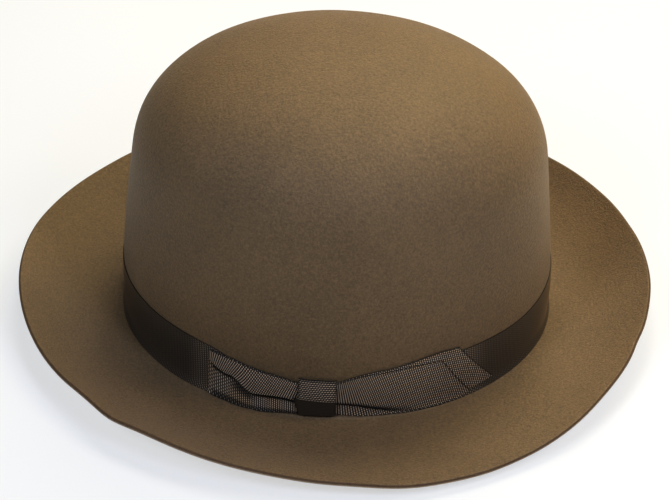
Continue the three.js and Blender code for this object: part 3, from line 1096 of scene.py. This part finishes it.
def make_tail(name, rows, end_foot, end_top, out, node, foot_painted_shade=0):
    """A tail whose slanting end runs from end_foot to end_top, both places along the band.

    The last argument is how much painted shade darkens the lower edge beside the tie.
    """
    read_tail = smooth_table(rows)
    start = rows[0][0]
    cut_foot = end_foot - start - TAIL_LEAN / 2
    cut_top = end_top - start + TAIL_LEAN / 2
    length = max(cut_foot, cut_top)
    piece = cut_ribbon(name, length, RIBBON_WIDTH, rows=20)
    slant = Vector((RIBBON_WIDTH, cut_foot - cut_top, 0)).normalized()
    bpy.ops.object.mode_set(mode="EDIT")
    bpy.ops.mesh.select_all(action="SELECT")
    bpy.ops.mesh.bisect(plane_co=(cut_foot * MM, 0, 0), plane_no=slant, clear_outer=True)
    bpy.ops.object.mode_set(mode="OBJECT")

    def tail_place(x, y):
        share = y / RIBBON_WIDTH
        along = start + x + TAIL_LEAN * (0.5 - share) * rising(x, 4, 26)
        foot, top = (read_tail(along, column) for column in (1, 2))
        return on_band(along, foot + (top - foot) * share, out)

    # painted shade: a thin dark line at the cut end, and along the lower edge beside the tie
    def tail_painted_shade(x, y):
        share = y / RIBBON_WIDTH
        to_end = cut_foot + (cut_top - cut_foot) * share - x
        cut_end = 0.9 * (1 - rising(to_end, 0.3, 0.8))
        painted_foot_shade = foot_painted_shade * (1 - rising(share, 0.05, 0.13)) * (1 - rising(x, 26, 46))
        return max(cut_end, painted_foot_shade)

    # rib sharpness and painted glint fade a little towards the end
    def tail_crisp_and_glint(x, y):
        return 1 - 0.15 * rising(start + x, 35, 55)

    lay_ribbon(piece, tail_place, crisp=tail_crisp_and_glint, tucked=tail_painted_shade)
    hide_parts(node)


make_tail(
    "bow_lower_tail_ribbon",
    LOWER_TAIL,
    end_foot=79.3,
    end_top=59.7,
    out=LOWER_TAIL_OUT,
    node="bow_tail_lower",
)
make_tail(
    "bow_upper_tail_ribbon",
    UPPER_TAIL,
    end_foot=66,
    end_top=50.6,
    out=UPPER_TAIL_OUT,
    node="bow_tail_upper",
    foot_painted_shade=0.97,
)

# %% [markdown]
# ## The tie
#
# A short ribbon wraps round the middle of the bow from top to bottom, so its ribs run the
# other way, level. Its upper part bulges over the layers and catches the light, with painted
# glints, and below a crease it slopes back under, its ribs pressed flat and its colour darkened
# as painted shade. Painted shade also darkens the fold over its top and both its sides.

# %% Bow tie
TIE_HALF = 8.6
TIE_SPREAD = 2.0
TIE_LEAST_OUT = 0.55

# height, out
TIE_FACE = [
    (20.6, 0.6),
    (21.6, 0.8),
    (22.1, 1.2),
    (22.1, 1.7),
    (21.5, 2.2),
    (19.0, 2.7),
    (15.5, 3.2),
    (12.3, 3.5),
    (11.7, 3.45),
    (11.3, 3.1),
    (7.5, 2.9),
    (3.2, 2.6),
    (1.5, 2.2),
    (0.9, 1.4),
    (0.9, 0.7),
]
# the row where the crease begins
TIE_CREASE = 8
face_steps = [math.dist(a, b) for a, b in zip(TIE_FACE, TIE_FACE[1:])]
face_gone = [0, *np.cumsum(face_steps)]
TIE_LENGTH = face_gone[-1]


def tie_place(x, y):
    """The dark lower part is lifted at its back edge and spreads a little at its front."""
    height, out = (float(np.interp(x, face_gone, [p[i] for p in TIE_FACE])) for i in (0, 1))
    across = y / TIE_HALF - 1
    tuck = 0.5 * abs(across) ** 8
    crease = face_gone[TIE_CREASE]
    below = rising(x, crease, TIE_LENGTH - 2)
    skew = 0.3 * across * rising(x, 0, crease) - 0.7 * (1 + across) * below
    spread = TIE_SPREAD * max(0, -across) * rising(x, crease - 0.5, crease + 0.4) * (1 - below)
    along = TIE_MIDDLE + TIE_HALF * across - spread
    return on_band(along, height - skew, max(out - tuck, TIE_LEAST_OUT))


# rib sharpness and painted glint on the upper part; below the crease almost none, so it stays
# dark as painted shade
def tie_crisp_and_glint(x, y):
    crease = face_gone[TIE_CREASE]
    return 0.8 - 0.78 * rising(x, crease - 0.3, crease + 0.2)


# painted shade at the fold over the top and along both sides
def tie_painted_shade(x, y):
    top_fold = 0.95 * (1 - rising(x, face_gone[3], face_gone[4] + 0.3))
    sides = 0.6 * rising(abs(y / TIE_HALF - 1), 0.88, 0.97)
    return max(top_fold, sides)


tie = cut_ribbon("bow_tie_ribbon", TIE_LENGTH, 2 * TIE_HALF, rows=24)
lay_ribbon(tie, tie_place, crisp=tie_crisp_and_glint, tucked=tie_painted_shade)
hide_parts("bow_tie")

# %% Compare the boxes and finish
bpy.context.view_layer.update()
for label, box in (("frame", frame_box), ("dressed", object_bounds())):
    print(label, [round((high - low) * 1000, 1) for low, high in zip(*box)], "mm")
